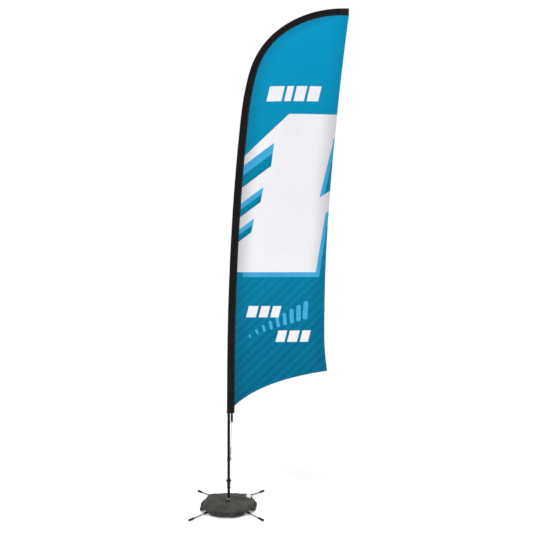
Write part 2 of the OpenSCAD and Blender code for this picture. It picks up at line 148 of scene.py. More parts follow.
class Mat:
    """A node material: object-space coordinates, mixes, ramps and stacked bumps."""
    def __init__(self, name, color, rough, metal=0.0, **sockets):
        self.m = bpy.data.materials.new(name)
        self.m.use_nodes = True
        self.nt = self.m.node_tree
        self.b = self.nt.nodes["Principled BSDF"]
        self.b.inputs["Base Color"].default_value = color
        self.b.inputs["Roughness"].default_value = rough
        self.b.inputs["Metallic"].default_value = metal
        for k, v in sockets.items():
            self.b.inputs[k.replace("_", " ")].default_value = v
        self.m.diffuse_color = color
        self.co = self.node("ShaderNodeTexCoord").outputs["Object"]
        self.height = None

    def node(self, kind, _in=None, **props):
        n = self.nt.nodes.new(kind)
        for k, v in props.items():
            setattr(n, k, v)
        for k, v in (_in or {}).items():
            self.put(n.inputs[k], v)
        return n

    def put(self, socket, v):
        if isinstance(v, bpy.types.NodeSocket):
            self.nt.links.new(v, socket)
        else:
            socket.default_value = v

    def math(self, op, a, b=0.0, c=0.0):
        return self.node("ShaderNodeMath", {0: a, 1: b, 2: c}, operation=op).outputs[0]

    def times(self, a, b):
        return self.math("MULTIPLY", a, b)

    def axis(self, name, scale=1.0):
        s = self.node("ShaderNodeSeparateXYZ", {0: self.co}).outputs[name]
        return self.times(s, scale)

    def noise(self, scale, detail=4.0, rough=0.5, stretch=None):
        co = self.co
        if stretch:
            co = self.node("ShaderNodeVectorMath", {0: co, 1: stretch}, operation="MULTIPLY").outputs[0]
        ins = {"Vector": co, "Scale": scale, "Detail": detail, "Roughness": rough}
        return self.node("ShaderNodeTexNoise", ins).outputs["Fac"]

    def voronoi(self, scale, feature="F1"):
        ins = {"Vector": self.co, "Scale": scale}
        return self.node("ShaderNodeTexVoronoi", ins, feature=feature).outputs["Distance"]

    def span(self, v, lo, hi, a=0.0, b=1.0, kind="LINEAR"):
        ins = {0: v, 1: lo, 2: hi, 3: a, 4: b}
        return self.node("ShaderNodeMapRange", ins, interpolation_type=kind).outputs[0]

    def smooth(self, v, lo, hi, a=0.0, b=1.0):
        return self.span(v, lo, hi, a, b, "SMOOTHSTEP")

    def mix(self, fac, a, b, how="MIX"):
        return self.node("ShaderNodeMix", {0: fac, 6: a, 7: b}, data_type="RGBA", blend_type=how).outputs[2]

    def ramp(self, v, stops):
        """colours at rising places along 0..1"""
        n = self.node("ShaderNodeValToRGB", {0: v})
        e = n.color_ramp.elements
        e[0].position, e[0].color = stops[0]
        e[1].position, e[1].color = stops[-1]
        for place, col in stops[1:-1]:
            e.new(place).color = col
        return n.outputs[0]

    def color(self, v):
        self.put(self.b.inputs["Base Color"], v)

    def rough(self, lo, hi, *grain):
        """roughness from lo to hi by a noise"""
        self.put(self.b.inputs["Roughness"], self.span(self.noise(*grain), 0.3, 0.7, lo, hi))

    def bump(self, height, depth, strength=1.0):
        ins = {"Height": height, "Distance": depth, "Strength": strength}
        if self.height is not None:
            ins["Normal"] = self.height
        self.height = self.node("ShaderNodeBump", ins).outputs[0]
        self.nt.links.new(self.height, self.b.inputs["Normal"])

    def sine(self, v, pitch):
        """0..1 wave along a coordinate in metres"""
        return self.math("MULTIPLY_ADD", self.math("SINE", self.times(v, tau/pitch)), 0.5, 0.5)

    def weave(self, a, pitch_a, b, pitch_b):
        return self.times(self.sine(self.axis(a), pitch_a), self.sine(self.axis(b), pitch_b))


WHOLE = (1, 1, 1, 1)


def printed(name, kind):
    """The sail's knitted polyester with its dye: kind is blue, deep, sky or white."""
    m = Mat(name, srgb(240, 240, 243), 0.78, Specular_IOR_Level=0.06)
    z = m.axis("Z")
    if kind == "white":
        c = m.mix(m.span(m.noise(3.0, 2.0), 0.3, 0.7), srgb(224, 223, 228), srgb(231, 230, 235))
    elif kind == "sky":
        c = m.mix(m.span(m.noise(4.0, 2.0), 0.3, 0.7), srgb(58, 157, 202), srgb(67, 167, 212))
    else:
        base = m.ramp(m.span(z, 0.85, 3.9), (
            (0.0, srgb(0, 104, 138)), (0.16, srgb(0, 115, 150)), (0.38, srgb(2, 128, 164)),
            (0.62, srgb(0, 133, 169)), (0.85, srgb(0, 141, 183)), (1.0, srgb(0, 145, 189))))
        # faint diagonal stripes of the print, stronger low down
        diag = m.math("SUBTRACT", m.axis("X", 0.97), m.axis("Z", 1.0))
        wave = m.sine(diag, 0.0788)
        wide = m.sine(diag, 0.2740)
        stripe = m.math("ADD", m.times(wave, 0.8), m.times(wide, 0.2))
        power = m.span(z, 3.6, 1.3, 0.07, 0.80)
        fac = m.times(stripe, power)
        c = m.mix(fac, base, m.mix(1.0, base, (0.88, 0.66, 0.69, 1), "MULTIPLY"))
        if kind == "deep":
            c = m.mix(1.0, c, (0.8, 0.9, 0.88, 1), "MULTIPLY")
    # painted shade: the cloth is darkened near the sleeve and near the free edge, where it turns away from
    # the light
    def line(fn):
        return m.ramp(m.span(z, 0.8, 3.95), [(i/14, (fn(0.8 + 3.15*i/14),)*3 + (1,)) for i in range(15)])

    x = m.axis("X")
    left = m.math("SUBTRACT", x, line(lambda h: float(np.interp(h, SEAM_Z, SEAM_X))))
    right = m.math("SUBTRACT", line(free_edge), x)
    low = 0.70 if kind == "white" else 0.84
    painted_shade = m.times(m.smooth(left, 0.0, 0.13, low, 1.0), m.smooth(right, 0.0, 0.15, low, 1.0))
    c = m.mix(1.0, c, m.mix(painted_shade, (0, 0, 0, 1), WHOLE), "MULTIPLY")
    # dye takes a little unevenly in a knit
    uneven = m.span(m.noise(220.0, 3.0, 0.6, (1, 1, 0.35)), 0.3, 0.7)
    m.color(m.mix(1.0, c, m.mix(uneven, (0.955, 0.955, 0.955, 1), WHOLE), "MULTIPLY"))
    m.rough(0.66, 0.8, 60.0, 3.0)
    # wales and courses of the knit, then soft handling creases
    m.bump(m.weave("X", 0.0011, "Z", 0.0016), 0.00012, 0.5)
    m.bump(m.noise(7.0, 3.0, 0.55, (1.0, 1.0, 0.4)), 0.0035, 0.35)
    return m.m


def sleeve_cloth():
    m = Mat("sleeve_cloth", srgb(15, 13, 15), 0.78, Sheen_Weight=0.03, Sheen_Roughness=0.5,
            Specular_IOR_Level=0.1)
    big = m.span(m.noise(9.0, 4.0), 0.35, 0.65)
    c = m.mix(big, srgb(9, 8, 10), srgb(18, 16, 18))
    thread = m.weave("X", 0.0009, "Z", 0.0009)
    m.color(m.mix(thread, c, srgb(25, 23, 25)))
    m.rough(0.58, 0.78, 90.0, 3.0)
    m.bump(thread, 0.00018, 0.6)
    m.bump(m.noise(26.0, 4.0, 0.6), 0.0012, 0.5)
    return m.m


def webbing(name, lo, hi):
    m = Mat(name, lo, 0.78, Specular_IOR_Level=0.2)
    rib = m.sine(m.math("ADD", m.axis("X"), m.axis("Z")), 0.0016)
    m.color(m.mix(rib, lo, hi))
    m.bump(rib, 0.0003, 0.8)
    m.bump(m.sine(m.axis("X"), 0.0035), 0.0002, 0.6)
    m.rough(0.65, 0.85, 400.0)
    return m.m


def powder_coat(name, lo, hi, rough=0.42):
    m = Mat(name, lo, rough, Specular_IOR_Level=0.18, Coat_Weight=0.03, Coat_Roughness=0.3)
    scuff = m.span(m.noise(34.0, 8.0, 0.68), 0.56, 0.68)
    dust = m.span(m.noise(6.0, 3.0), 0.35, 0.7)
    c = m.mix(dust, lo, hi)
    m.color(m.mix(m.times(scuff, 0.16), c, srgb(96, 95, 93)))
    m.rough(rough - 0.08, rough + 0.16, 55.0, 5.0, 0.6)
    m.bump(m.noise(900.0, 2.0), 0.00008, 0.55)
    m.bump(m.noise(120.0, 3.0), 0.00015, 0.3)
    return m.m


def metal(name, lo, hi, rough, brushed=(1, 1, 1), metallic=1.0):
    m = Mat(name, lo, rough, metallic)
    m.color(m.mix(m.span(m.noise(28.0, 6.0, 0.6), 0.32, 0.68), lo, hi))
    grain = m.noise(700.0, 3.0, 0.6, brushed)
    wear = m.math("ADD", m.times(grain, 0.5), m.times(m.noise(45.0, 5.0), 0.5))
    m.put(m.b.inputs["Roughness"], m.span(wear, 0.35, 0.65, rough - 0.1, rough + 0.14))
    m.bump(grain, 0.00004, 0.5)
    return m.m


def rubber():
    m = Mat("rubber_black", srgb(24, 24, 24), 0.8, Specular_IOR_Level=0.35)
    dust = m.span(m.noise(30.0, 6.0, 0.65), 0.45, 0.75)
    m.color(m.mix(m.times(dust, 0.5), srgb(20, 20, 20), srgb(58, 56, 53)))
    m.rough(0.68, 0.9, 80.0, 4.0)
    m.bump(m.noise(1300.0, 2.0), 0.00007, 0.7)
    m.bump(m.voronoi(300.0), 0.00012, 0.35)
    return m.m


def plastic(name, lo, hi, rough, grain=1500.0, gloss=0.5):
    m = Mat(name, lo, rough, Specular_IOR_Level=gloss)
    m.color(m.mix(m.span(m.noise(20.0, 5.0), 0.35, 0.7), lo, hi))
    m.rough(rough - 0.06, rough + 0.12, 70.0, 4.0)
    m.bump(m.voronoi(grain), 0.00006, 0.5)
    return m.m


def coated_cloth():
    """The bladder's PVC-coated polyester: dark olive grey, creased, with a weave under the coat."""
    m = Mat("bag_cloth", srgb(52, 52, 48), 0.6, Specular_IOR_Level=0.3, Sheen_Weight=0.05, Coat_Weight=0.04,
            Coat_Roughness=0.45)
    big = m.span(m.noise(7.0, 4.0, 0.55), 0.34, 0.66)
    c = m.mix(big, srgb(39, 40, 34), srgb(56, 57, 50))
    dust = m.span(m.noise(24.0, 6.0, 0.7), 0.52, 0.74)
    c = m.mix(m.times(dust, 0.3), c, srgb(84, 82, 77))
    # painted shade: the cloth is darkened low on the wall below the crown, where the wall turns down into
    # shadow
    m.color(m.mix(m.smooth(m.axis("Z"), 0.012, 0.044), srgb(17, 17, 17), c))
    m.rough(0.44, 0.64, 40.0, 4.0)
    m.bump(m.weave("X", 0.0013, "Y", 0.0013), 0.00014, 0.45)
    m.bump(m.noise(36.0, 5.0, 0.62), 0.0022, 0.55)
    m.bump(m.voronoi(24.0, "SMOOTH_F1"), 0.0016, 0.3)
    return m.m


def braid():
    m = Mat("braided_elastic", srgb(150, 151, 153), 0.7, Sheen_Weight=0.3)
    u = m.sine(m.math("ADD", m.axis("Z"), m.axis("X", 2.2)), 0.0021)
    v = m.sine(m.math("SUBTRACT", m.axis("Z"), m.axis("X", 2.2)), 0.0021)
    cell = m.times(u, v)
    m.color(m.mix(cell, srgb(92, 93, 96), srgb(186, 187, 189)))
    m.bump(cell, 0.00025, 0.8)
    m.rough(0.6, 0.8, 500.0)
    return m.m


def lacquered_tube():
    m = Mat("pole_black", srgb(9, 9, 10), 0.42, Specular_IOR_Level=0.1, Coat_Weight=0.02, Coat_Roughness=0.2)
    streak = m.noise(60.0, 6.0, 0.6, (1, 1, 0.06))
    m.color(m.mix(m.span(streak, 0.35, 0.7), srgb(5, 5, 6), srgb(14, 14, 15)))
    m.put(m.b.inputs["Roughness"], m.span(streak, 0.3, 0.7, 0.34, 0.52))
    m.bump(m.noise(240.0, 3.0, 0.5, (1, 1, 0.2)), 0.00005, 0.4)
    m.bump(m.math("GREATER_THAN", m.span(m.noise(90.0, 6.0, 0.7, (1, 1, 0.12)), 0.6, 0.7), 0.9), 0.00006, 0.3)
    return m.m


BLUE = printed("print_blue", "blue")
DEEP = printed("print_deep_blue", "deep")
SKY = printed("print_sky", "sky")
WHITE = printed("print_white", "white")
SLEEVE = sleeve_cloth()
STRAP = webbing("strap_webbing", srgb(12, 12, 13), srgb(26, 26, 28))
TAPE = webbing("seam_tape", srgb(13, 12, 14), srgb(27, 26, 28))
BLACK_STEEL = powder_coat("powder_coat_black", srgb(8, 8, 9), srgb(17, 17, 18))
GREY_ROD = powder_coat("rod_enamel", srgb(98, 99, 101), srgb(122, 123, 125), 0.4)
ZINC = metal("zinc_plate", srgb(128, 130, 135), srgb(160, 162, 166), 0.4)
CAST = metal("cast_zinc", srgb(150, 151, 150), srgb(176, 177, 176), 0.55, metallic=0.25)
STEEL = metal("ground_steel", srgb(196, 198, 202), srgb(220, 222, 225), 0.2, (1, 1, 0.05))
BRASS = metal("cage_brass", srgb(172, 138, 72), srgb(205, 172, 98), 0.3)
SATIN = metal("ring_satin", srgb(178, 180, 184), srgb(206, 208, 211), 0.32, (1, 1, 0.1))
RUBBER = rubber()
BLACK_PLASTIC = plastic("plastic_black", srgb(10, 10, 11), srgb(21, 21, 22), 0.5, gloss=0.18)
WHITE_PLASTIC = plastic("plastic_white", srgb(232, 232, 230), srgb(244, 244, 242), 0.3, 900.0)
BAG = coated_cloth()
BRAID = braid()
CLAMP = plastic("plastic_grey", srgb(104, 104, 106), srgb(124, 124, 126), 0.45)
POLE = lacquered_tube()


def thread(name, lo, hi):
    m = Mat(name, lo, 0.6, Sheen_Weight=0.4)
    m.color(m.mix(m.span(m.noise(800.0), 0.3, 0.7), lo, hi))
    m.bump(m.sine(m.math("ADD", m.axis("X"), m.axis("Z")), 0.0006), 0.0001, 0.7)
    return m.m


THREAD_BLACK = thread("thread_black", srgb(44, 44, 46), srgb(70, 70, 72))
THREAD_BLUE = thread("thread_blue", srgb(0, 96, 128), srgb(20, 130, 165))
THREAD_GREY = thread("thread_grey", srgb(96, 96, 92), srgb(128, 127, 122))

NODE_LOOKS = {
    RUBBER: "center_foot spindle_o_rings tip_cap cap_seal leg_tip_front_left leg_tip_rear_right "
            "leg_tip_front_right leg_tip_rear_left",
    ZINC: "pivot_bolt lower_arm_rivets upper_arm_rivets arm_spacer hub_washer hub_nut "
          "bearing_spacer bearing_retainer spindle_circlip tension_ring",
    CAST: "lock_collar",
    BLACK_STEEL: "lower_arm upper_arm post bearing_housing",
    GREY_ROD: "leg_front_left leg_rear_right leg_front_right leg_rear_left",
    STEEL: "bearing_outer_rings bearing_inner_rings bearing_balls spindle_shaft",
    BRASS: "bearing_cages",
    BLACK_PLASTIC: "filler_neck spindle_flange pole_foot tension_collar",
    POLE: "pole_section_1 pole_section_2 pole_section_3 pole_section_4",
    SATIN: "pole_ring_1 pole_ring_2 pole_ring_3",
    SLEEVE: "pole_sleeve tip_pocket",
    BLUE: "flag_panel",
    STRAP: "tension_strap",
    BRAID: "tension_cord",
    BAG: "water_bag",
    WHITE_PLASTIC: "filler_cap",
}
for mat, names in NODE_LOOKS.items():
    for name in names.split():
        o = nodes[name]
        if not o.data.materials:
            o.data.materials.append(mat)
        for i in range(len(o.data.materials)):
            o.data.materials[i] = mat


# ---- mesh helpers
def plain(name, verts, faces):
    """a bare mesh object"""
    me = bpy.data.meshes.new(name)
    me.from_pydata([tuple(v) for v in verts], [], faces)
    o = bpy.data.objects.new(name, me)
    scene.collection.objects.link(o)
    return o


def finished(o, mats, mat_of=None):
    """gives a bare mesh its materials and smooth shading"""
    me = o.data
    for m in mats:
        me.materials.append(m)
    me.polygons.foreach_set("use_smooth", [True]*len(me.polygons))
    if mat_of is not None:
        me.polygons.foreach_set("material_index", mat_of)
    me.update()
    return o


def make(name, verts, faces, mats, body, mat_of=None):
    """a smooth-shaded piece on its body; mat_of holds each face's place in mats"""
    o = finished(plain(name, verts, faces), mats, mat_of)
    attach(o, body)
    return o


def join_rows(a, b):
    """quads between two closed rows of vertex numbers"""
    n = len(a)
    return [(a[k], a[(k + 1) % n], b[(k + 1) % n], b[k]) for k in range(n)]


def skin(count, m, closed=False):
    """quads round a run of rows of m vertices each"""
    rows = [range(i*m, (i + 1)*m) for i in range(count)]
    return [f for a, b in zip(rows, rows[1:] + rows[:int(closed)]) for f in join_rows(a, b)]


def ends(count, m):
    """the two faces that close such a run"""
    return [tuple(range(m))[::-1], tuple(range((count - 1)*m, count*m))]


def outward(o):
    """turns every face to the outside"""
    bm = bmesh.new()
    bm.from_mesh(o.data)
    bmesh.ops.recalc_face_normals(bm, faces=bm.faces)
    bm.to_mesh(o.data)
    bm.free()
    return o


def sharp(o, degrees=35):
    """keeps hard edges hard on a smooth-shaded mesh"""
    o.data.set_sharp_from_angle(angle=math.radians(degrees))
    return o


def tube(name, pts, radii, mat, body, sides, closed=False):
    """a tube swept along points, with a radius for each"""
    n = len(pts)
    verts, ref = [], None
    for i, p in enumerate(pts):
        a = pts[(i - 1) % n] if closed or i > 0 else p
        b = pts[(i + 1) % n] if closed or i < n - 1 else p
        t = (b - a).normalized()
        if ref is None:
            ref = t.orthogonal().normalized()
        ref = (ref - t*ref.dot(t)).normalized()
        side = t.cross(ref)
        for k in range(sides):
            ang = tau*k/sides
            verts.append(p + ref*(radii[i]*math.cos(ang)) + side*(radii[i]*math.sin(ang)))
    faces = skin(n, sides, closed) + ([] if closed else ends(n, sides))
    return sharp(make(name, verts, faces, [mat], body))


def lathe(name, profile, mat, body, place, sides, wave=None, angle=35):
    """a turned solid; profile holds (r, z) pairs; wave changes r by angle and profile index"""
    verts, faces, rows = [], [], []
    for i, (r, z) in enumerate(profile):
        turns = [tau*k/sides for k in range(sides if r > 1e-7 else 1)]
        rows.append(range(len(verts), len(verts) + len(turns)))
        for a in turns:
            rr = r + (wave(a, i) if wave else 0)
            verts.append(place(Vector((rr*math.cos(a), rr*math.sin(a), z))))
    for p, q in zip(rows, rows[1:]):
        if len(p) > 1 and len(q) > 1:
            faces += join_rows(p, q)
        elif len(p) > 1:
            faces += [(p[k], p[(k + 1) % sides], q[0]) for k in range(sides)]
        elif len(q) > 1:
            faces += [(p[0], q[(k + 1) % sides], q[k]) for k in range(sides)]
    return sharp(outward(make(name, verts, faces, [mat], body)), angle)


def across(side, lean=0.0):
    """the way a row of stitches faces: to one side of the sail, leaning with x"""
    return lambda p: (p.x*lean, side, 0)


def stitches(name, rows, mat, body, pitch=0.0046, length=0.0031, r=0.00042):
    """rows of (points, outward normal function); each stitch is a small rounded lozenge lying on the cloth"""
    sink = 0.00005
    verts, faces = [], []
    for pts, up in rows:
        pts = [Vector(p) for p in pts]
        dist = [0.0]
        for a, b in zip(pts, pts[1:]):
            dist.append(dist[-1] + (b - a).length)
        count = int(dist[-1]/pitch)
        seg = 0
        for k in range(count):
            d = (k + 0.5)*dist[-1]/count
            while dist[seg + 1] < d:
                seg += 1
            f = (d - dist[seg])/max(1e-9, dist[seg + 1] - dist[seg])
            p = pts[seg].lerp(pts[seg + 1], f)
            t = (pts[seg + 1] - pts[seg]).normalized()
            n = Vector(up(p)).normalized()
            side = t.cross(n).normalized()
            base = len(verts)
            for s, w in ((-0.5, 0.35), (-0.3, 1.0), (0.3, 1.0), (0.5, 0.35)):
                for c, h in ((-1, 0), (0, 1.0), (1, 0)):
                    verts.append(p + t*(s*length) + side*(c*r*w) + n*(h*r*w*1.3 - sink))
            for i in range(3):
                for j in range(2):
                    a = base + i*3 + j
                    faces.append((a, a + 1, a + 4, a + 3))
                faces.append((base + i*3 + 2, base + i*3, base + i*3 + 3, base + i*3 + 5))
            faces.append((base + 2, base + 1, base))
            faces.append((base + 9, base + 10, base + 11))
    return make(name, verts, faces, [mat], body)


# ---- sail: outline of the cut cloth, from the seam's foot round to its head
HEAD_Z = TOP.z - 0.0012
lower = [lower_edge(i/80) for i in range(81)]
free = [(free_edge(z), z) for z in (CORNER_Z + (HEAD_Z - CORNER_Z)*i/230 for i in range(1, 231))]
head = [(free[-1][0] + (TOP.x - free[-1][0])*i/6, HEAD_Z) for i in range(1, 6)]
inner = [seam(SAIL_B - (SAIL_B - SAIL_A)*i/300, 0.006) for i in range(301)]
outline = lower[1:] + free + head + [(p.x, p.z) for p in inner]


# ---- the print: plain slanted fields and bars in the sail's own plane (x, z in metres)
def bar(x0, x1, z0, z1, slant):
    """a leaning bar: slant is the sideways run per unit of height"""
    d = (z1 - z0)*slant
    return [(x0, z0), (x1, z0), (x1 + d, z1), (x0 + d, z1)]


def rounded(poly, r, n=6):
    """polygon with rounded corners"""
    out = []
    k = len(poly)
    for i in range(k):
        a, b, c = (Vector(p) for p in (poly[i - 1], poly[i], poly[(i + 1) % k]))
        d1, d2 = a - b, c - b
        rr = min(r, d1.length*0.45, d2.length*0.45)
        p, q = b + d1.normalized()*rr, b + d2.normalized()*rr
        for j in range(n + 1):
            t = j/n
            v = p*(1 - t)**2 + b*(2*t*(1 - t)) + q*t*t
            out.append((v.x, v.y))
    return out


DYES = [BLUE, DEEP, SKY, WHITE]
IN_DEEP, IN_SKY, IN_WHITE = 1, 2, 3
prints = []


def add(poly, slot):
    prints.append((poly, slot))


FIELD_TOP, FIELD_LOW = 3.112, 1.860
# light-blue shade under the white field
add([(0.112, 1.822), (0.718, 1.822), (0.735, 1.90), (0.60, 2.0), (0.112, 2.0)], IN_SKY)
# the white field with its slanted upper left corner
add([(0.020, FIELD_LOW), (0.694, FIELD_LOW), (0.772, 2.330), (1.0, 2.470), (1.0, FIELD_TOP),
     (0.481, FIELD_TOP), (0.020, 2.686)], IN_WHITE)


def dart(low, high, reach, cut, slot):
    """a slanted dart that comes in from the sleeve; its lower corner is cut back"""
    x0, slope = 0.020, 0.72
    tip = reach - cut
    add([(x0, low), (tip, low + (tip - x0)*slope), (reach, high + (reach - x0)*slope), (x0, high)], slot)


# three darts, each with a lighter upper half
for z0, reach, deep in ((2.470, 0.362, 0.168), (2.246, 0.278, 0.104), (2.060, 0.204, 0.094)):
    dart(z0, z0 + deep, reach, 0.024, IN_DEEP)
    dart(z0 + deep*0.55, z0 + deep, reach, 0.011, IN_SKY)
# two long wedges down the free side: sky inside, deep blue outside
add([(0.722, 2.452), (1.0, 2.640), (1.0, 3.0), (0.853, 2.985)], IN_DEEP)
add([(0.722, 2.452), (0.764, 2.481), (0.858, 2.90), (0.853, 2.985)], IN_SKY)
add([(0.694, FIELD_LOW), (0.726, FIELD_LOW), (0.803, 2.349), (0.772, 2.330)], IN_SKY)
# leaning bars: four above the field and two rows of three below it
BARS = ((3.214, 3.334, 0.24, ((0.300, 0.118), (0.440, 0.052), (0.514, 0.082), (0.618, 0.092))),
        (1.502, 1.592, 0.26, ((0.138, 0.078), (0.238, 0.070), (0.330, 0.066))),
        (1.308, 1.398, 0.26, ((0.372, 0.070), (0.464, 0.078), (0.564, 0.066))))
for z0, z1, slant, places in BARS:
    for x0, w in places:
        add(bar(x0, x0 + w, z0, z1, slant), IN_WHITE)
# a rising row of rounded sky dashes under the two lower rows
for k in range(9):
    t = k/8
    cx, cz = 0.170 + 0.440*t, 1.352 + 0.205*t**0.85
    ln, wd = 0.026 + 0.118*t, 0.014 + 0.024*t
    ang = 1.95 - 0.45*t
    ux, uz = math.cos(ang), math.sin(ang)
    corners = ((-1, -1), (1, -1), (1, 1), (-1, 1))
    quad = [(cx + ux*ln*a/2 - uz*wd*b/2, cz + uz*ln*a/2 + ux*wd*b/2) for a, b in corners]
    prints.insert(0, (rounded(quad, wd*0.48), IN_SKY))


def inside(poly, px, pz):
    """even-odd test of many points"""
    res = np.zeros(len(px), bool)
    n = len(poly)
    for i in range(n):
        x0, z0 = poly[i]
        x1, z1 = poly[(i + 1) % n]
        if z0 == z1:
            continue
        cond = (pz < z0) != (pz < z1)
        res ^= cond & (px < (x1 - x0)*(pz - z0)/(z1 - z0) + x0)
    return res


def even(pts, step, count=round):
    """points along an open line, about a step apart"""
    out = []
    for (x0, z0), (x1, z1) in zip(pts, pts[1:]):
        k = max(1, count(math.hypot(x1 - x0, z1 - z0)/step))
        out += [(x0 + (x1 - x0)*j/k, z0 + (z1 - z0)*j/k) for j in range(k)]
    return out + [pts[-1]]


def print_slot(px, pz):
    slot = np.zeros(len(px), int)
    for poly, s in prints:
        slot[inside(poly, px, pz)] = s
    return slot


def between(pts, grid=0.016, clear=0.007):
    """even points over the cloth, kept clear of the ones given"""
    steps = (-1, 0, 1)
    near = {(int(x/clear) + i, int(z/clear) + j) for x, z in pts for i in steps for j in steps}
    out = []
    row, z = 0, 0.76
    while z < 3.93:
        x = 0.03 + (0.5*grid if row % 2 else 0)
        while x < 0.95:
            if (int(x/clear), int(z/clear)) not in near:
                out.append((x, z))
            x += grid
        z += grid*0.87
        row += 1
    return out


def flat_sail():
    """the cut cloth as triangles in its own plane, split along the print's lines"""
    pts, edges = [], []
    for loop in [outline] + [even(p + p[:1], 0.014, math.ceil)[:-1] for p, _ in prints]:
        a = len(pts)
        pts += loop
        edges += [(a + i, a + (i + 1) % len(loop)) for i in range(len(loop))]
    pts += between(pts)
    v, _, f, _, _, _ = delaunay_2d_cdt([Vector(p) for p in pts], edges, [], 0, 1e-6, True)
    v = np.array([tuple(p) for p in v])
    f = np.array([t for t in f if len(t) == 3])
    c = v[f].mean(1)
    keep = inside(outline, c[:, 0], c[:, 1])
    f, c = f[keep], c[keep]
    slot = print_slot(c[:, 0], c[:, 1])
    used = np.unique(f)
    remap = -np.ones(len(v), int)
    remap[used] = np.arange(len(used))
    v, f = v[used], remap[f]
    d1, d2 = v[f[:, 1]] - v[f[:, 0]], v[f[:, 2]] - v[f[:, 0]]
    flip = d1[:, 0]*d2[:, 1] - d1[:, 1]*d2[:, 0] < 0
    f[flip] = f[flip][:, ::-1]
    return v, f, slot


def build_sail():
    """the cloth with both faces and its cut edge, and the area of one face"""
    v, f, slot = flat_sail()
    y = np.array([sail_y(x, z) for x, z in v])
    half = 0.00028
    n = len(v)
    front = np.column_stack([v[:, 0], y - half, v[:, 1]])
    back = np.column_stack([v[:, 0], y + half, v[:, 1]])
    faces = [tuple(t) for t in f] + [tuple(t[::-1] + n) for t in f]
    slots = list(slot)*2
    sides = {}
    for t, s in zip(f, slot):
        for a, b in zip(t, np.roll(t, -1)):
            sides.setdefault(frozenset((a, b)), []).append((a, b, s))
    for (a, b, s), *others in sides.values():
        if not others:
            faces.append((b, a, a + n, b + n))
            slots.append(s)
    cross = np.cross(front[f[:, 1]] - front[f[:, 0]], front[f[:, 2]] - front[f[:, 0]])
    area = float(0.5*np.linalg.norm(cross, axis=1).sum())
    faces = [tuple(int(i) for i in t) for t in faces]
    o = make("sail", np.vstack([front, back]), faces, DYES, "mast", [int(s) for s in slots])
    return sharp(o, 60), area


sail, sail_area = build_sail()
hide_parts("flag_panel")


# ---- hems on the free edge and the lower edge
HEM_WIDTH, HEM_THICK = 0.012, 0.00062


def build_hem(name, pts, inward):
    """a turned hem: pts run along the cut edge; inward holds each one's direction into the cloth"""
    verts, faces, cents = [], [], []
    for (x, z), d in zip(pts, inward):
        for off, th in ((-0.0006, 0.35), (0.0008, 1.0), (HEM_WIDTH - 0.001, 1.0), (HEM_WIDTH, 0.6)):
            px, pz = x + d[0]*off, z + d[1]*off
            y = sail_y(px, pz)
            verts += [(px, y - HEM_THICK*th, pz), (px, y + HEM_THICK*th, pz)]
        cents.append((x + d[0]*HEM_WIDTH/2, z + d[1]*HEM_WIDTH/2))
    k = 8
    for i in range(len(pts) - 1):
        a, b = i*k, (i + 1)*k
        for j in (0, 2, 4):
            faces.append((a + j, a + j + 2, b + j + 2, b + j))
            faces.append((a + j + 1, b + j + 1, b + j + 3, a + j + 3))
        faces.append((a, b, b + 1, a + 1))
        faces.append((a + 6, a + 7, b + 7, b + 6))
    e = (len(pts) - 1)*k
    for j in (0, 2, 4):
        faces.append((j, j + 1, j + 3, j + 2))
        faces.append((e + j, e + j + 2, e + j + 3, e + j + 1))
    cx = np.array([(a[0] + b[0])/2 for a, b in zip(cents, cents[1:])])
    cz = np.array([(a[1] + b[1])/2 for a, b in zip(cents, cents[1:])])
    slots = [int(s) for s in print_slot(cx, cz) for _ in range(k)] + [0]*6
    return sharp(outward(make(name, verts, faces, DYES, "mast", slots)), 50)


def normals_of(pts):
    """each point's direction into the cloth"""
    out = []
    for i in range(len(pts)):
        a, b = pts[max(0, i - 1)], pts[min(len(pts) - 1, i + 1)]
        dx, dz = b[0] - a[0], b[1] - a[1]
        l = math.hypot(dx, dz)
        out.append((-dz/l, dx/l))
    return out


free_pts = even([(CORNER_X, CORNER_Z)] + free[:-1], 0.006)
low_pts = even(lower[1:], 0.006)
free_in, low_in = normals_of(free_pts), normals_of(low_pts)
hem_free = build_hem("sail_hem_free_edge", free_pts, free_in)
hem_low = build_hem("sail_hem_lower_edge", low_pts, low_in)


def row_on_sail(pts, inward, inset, side):
    flat = [(p[0] + n[0]*inset, p[1] + n[1]*inset) for p, n in zip(pts, inward)]
    return [Vector((x, sail_y(x, z) + side*HEM_THICK, z)) for x, z in flat]


hems = ((free_pts, free_in), (low_pts, low_in))
rows = [(row_on_sail(pts, inward, inset, side), across(side))
        for side in (-1, 1) for inset in (0.0030, 0.0098) for pts, inward in hems]
hem_stitches = stitches("sail_hem_stitches", rows, THREAD_BLUE, "mast")


# ---- pole sleeve
PLY_POINTS = 11


def sleeve_section(s, grow=0.0):
    """points round the sleeve at path length s: from the seam's back ply, round the pole, to its front ply"""
    r = lookup(SLEEVE_R, s) + grow
    w = flap(s) + max(grow, 0)
    t = 0.0013 + max(grow, 0)
    leave_n, leave_y = r*math.cos(math.radians(70)), r*math.sin(math.radians(70))
    side = []
    for i in range(PLY_POINTS):
        f = i/PLY_POINTS
        y = t + (leave_y - t)*f - 0.0012*math.sin(pi*f)*(1 - f)
        y += 0.0004*math.sin(pi*min(1, f*5)) if f < 0.2 else 0
        side.append((w + (leave_n - w)*f, y))
    arc = [(r*math.cos(math.radians(a)), r*math.sin(math.radians(a))) for a in np.linspace(70, 290, 27)]
    return side + arc + [(n, -y) for n, y in side[::-1]]


